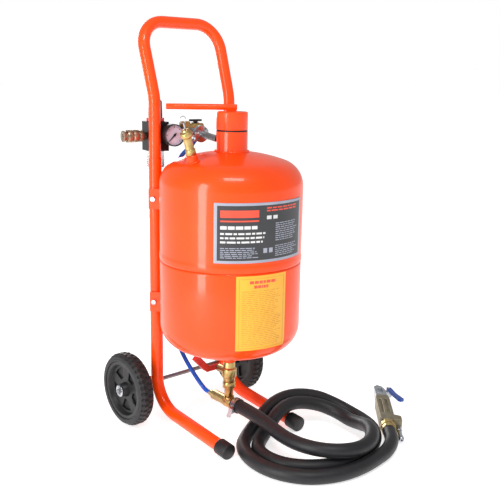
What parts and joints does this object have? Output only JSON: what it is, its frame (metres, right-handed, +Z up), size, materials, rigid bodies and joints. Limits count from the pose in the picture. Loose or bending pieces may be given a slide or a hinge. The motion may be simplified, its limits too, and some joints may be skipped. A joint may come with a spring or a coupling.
{
  "type": "portable pressure blaster tank",
  "caption": "Portable abrasive blaster: an upright pressure tank on a two-wheel hand cart, with filler cap, air regulator train, mixing valve, coiled blast hose and gun.",
  "frame": {"origin": "centre of the base of the object without its hose and gun, on the floor", "axes": "+Z up, -Y the front where the feet point, X along the axle"},
  "size_m": [0.541, 0.5385, 0.8155],
  "materials": {
    "powder_coat": "gloss powder coat",
    "black_plastic": "moulded, fine grain",
    "black_rubber": "moulded rubber",
    "tyre_rubber": "moulded tread",
    "zinc_plate": "bright zinc plated",
    "brass": "machined and cast brass",
    "dark_film": "printed film, silver border",
    "yellow_film": "printed film",
    "clear_plastic": "clear polycarbonate",
    "red_plastic": "moulded",
    "blue_hose": "extruded polyurethane",
    "cast_alloy": "die cast",
    "blue_grip": "dipped vinyl"
  },
  "bodies": {
    "frame": {"air_hose": "blue_hose", "axle": "zinc_plate", "axle_washer_left": "zinc_plate", "axle_washer_right": "zinc_plate", "blast_hose": "black_rubber", "cotter_pin_left": "zinc_plate", "cotter_pin_right": "zinc_plate", "coupler_body": "zinc_plate", "data_plate": "dark_film", "filler_neck": "powder_coat", "filter_bowl": "clear_plastic", "filter_element": "clear_plastic", "foot_cap_left": "black_rubber", "foot_cap_right": "black_rubber", "gauge_case": "black_plastic", "gun_body": "cast_alloy", "gun_head": "zinc_plate", "gun_nozzle": "zinc_plate", "handle_loop": "powder_coat", "hose_clamp": "zinc_plate", "hose_coupling": "brass", "inlet_manifold": "brass", "inlet_nipple": "zinc_plate", "inlet_pipe": "zinc_plate", "inlet_union": "zinc_plate", "lock_ring": "red_plastic", "mixing_tee": "brass", "notice_label": "yellow_film", "outlet_nipple": "zinc_plate", "outlet_union": "brass", "outlet_valve_body": "brass", "rail_bolt_lower_left": "zinc_plate", "rail_bolt_lower_right": "zinc_plate", "rail_bolt_upper_left": "zinc_plate", "rail_bolt_upper_right": "zinc_plate", "rail_left": "powder_coat", "rail_right": "powder_coat", "regulator_body": "black_plastic", "safety_valve_body": "brass", "tank_bracket_lower_left": "powder_coat", "tank_bracket_lower_right": "powder_coat", "tank_bracket_upper_left": "powder_coat", "tank_bracket_upper_right": "powder_coat", "tank_lower_shell": "powder_coat", "tank_upper_shell": "powder_coat"},
    "wheel_left": {"tyre_left": "tyre_rubber", "wheel_hub_left": "black_plastic"},
    "wheel_right": {"tyre_right": "tyre_rubber", "wheel_hub_right": "black_plastic"},
    "cap_carrier": {"cap_gasket": "black_rubber"},
    "cap": {"filler_cap": "powder_coat", "cap_lever": "powder_coat"},
    "safety_stem": {"safety_valve_stem": "zinc_plate"},
    "coupler_sleeve": {"coupler_sleeve": "zinc_plate"},
    "regulator_knob": {"regulator_knob": "black_plastic"},
    "gauge_pointer": {"gauge_pointer": "black_plastic"},
    "bleed_lever": {"bleed_lever": "black_plastic"},
    "outlet_lever": {"outlet_lever": "red_plastic", "outlet_ball": "zinc_plate"},
    "gun_lever": {"gun_lever": "blue_grip"}
  },
  "joints": [
    {"name": "wheel_left_spin", "type": "hinge", "parent": "frame", "child": "wheel_left", "pos_m": [-0.1485, 0.1041, 0.075], "axis": [1, 0, 0], "continuous": true},
    {"name": "wheel_right_spin", "type": "hinge", "parent": "frame", "child": "wheel_right", "pos_m": [0.1485, 0.1041, 0.075], "axis": [1, 0, 0], "continuous": true},
    {"name": "cap_lift", "type": "slide", "parent": "frame", "child": "cap_carrier", "axis": [0, 0, 1], "range_m": [0, 0.014]},
    {"name": "cap_turn", "type": "hinge", "parent": "cap_carrier", "child": "cap", "pos_m": [0, -0.04, 0.62], "axis": [0, 0, 1], "range_deg": [0, 1440]},
    {"name": "safety_stem_lift", "type": "slide", "parent": "frame", "child": "safety_stem", "axis": [-0.3015, -0.0215, 0.9532], "range_m": [0, 0.003], "stiffness_N_per_m": 400},
    {"name": "coupler_sleeve_slide", "type": "slide", "parent": "frame", "child": "coupler_sleeve", "axis": [-0.9816, 0.1908, 0], "range_m": [0, 0.004], "stiffness_N_per_m": 800},
    {"name": "regulator_knob_turn", "type": "hinge", "parent": "frame", "child": "regulator_knob", "pos_m": [-0.07, 0.111, 0.635], "axis": [0, 0, 1], "range_deg": [0, 1440]},
    {"name": "gauge_pointer_swing", "type": "hinge", "parent": "frame", "child": "gauge_pointer", "pos_m": [-0.06323, 0.05671, 0.59], "axis": [0.1908, 0.9816, 0], "range_deg": [0, 270]},
    {"name": "bleed_lever_turn", "type": "hinge", "parent": "frame", "child": "bleed_lever", "pos_m": [0.01638, 0.09421, 0.612], "axis": [0, 0, 1], "range_deg": [0, 90]},
    {"name": "outlet_lever_turn", "type": "hinge", "parent": "frame", "child": "outlet_lever", "pos_m": [0, 0, 0.118], "axis": [0, -1, 0], "range_deg": [0, 90]},
    {"name": "gun_lever_squeeze", "type": "hinge", "parent": "frame", "child": "gun_lever", "pos_m": [0.358, -0.17029, 0.026], "axis": [0, 0, -1], "range_deg": [0, 12], "stiffness_Nm_per_rad": 0.5}
  ],
  "couplings": [
    {"joint": "cap_lift", "follows": "cap_turn", "m_per_rad": 0.00055704}
  ]
}
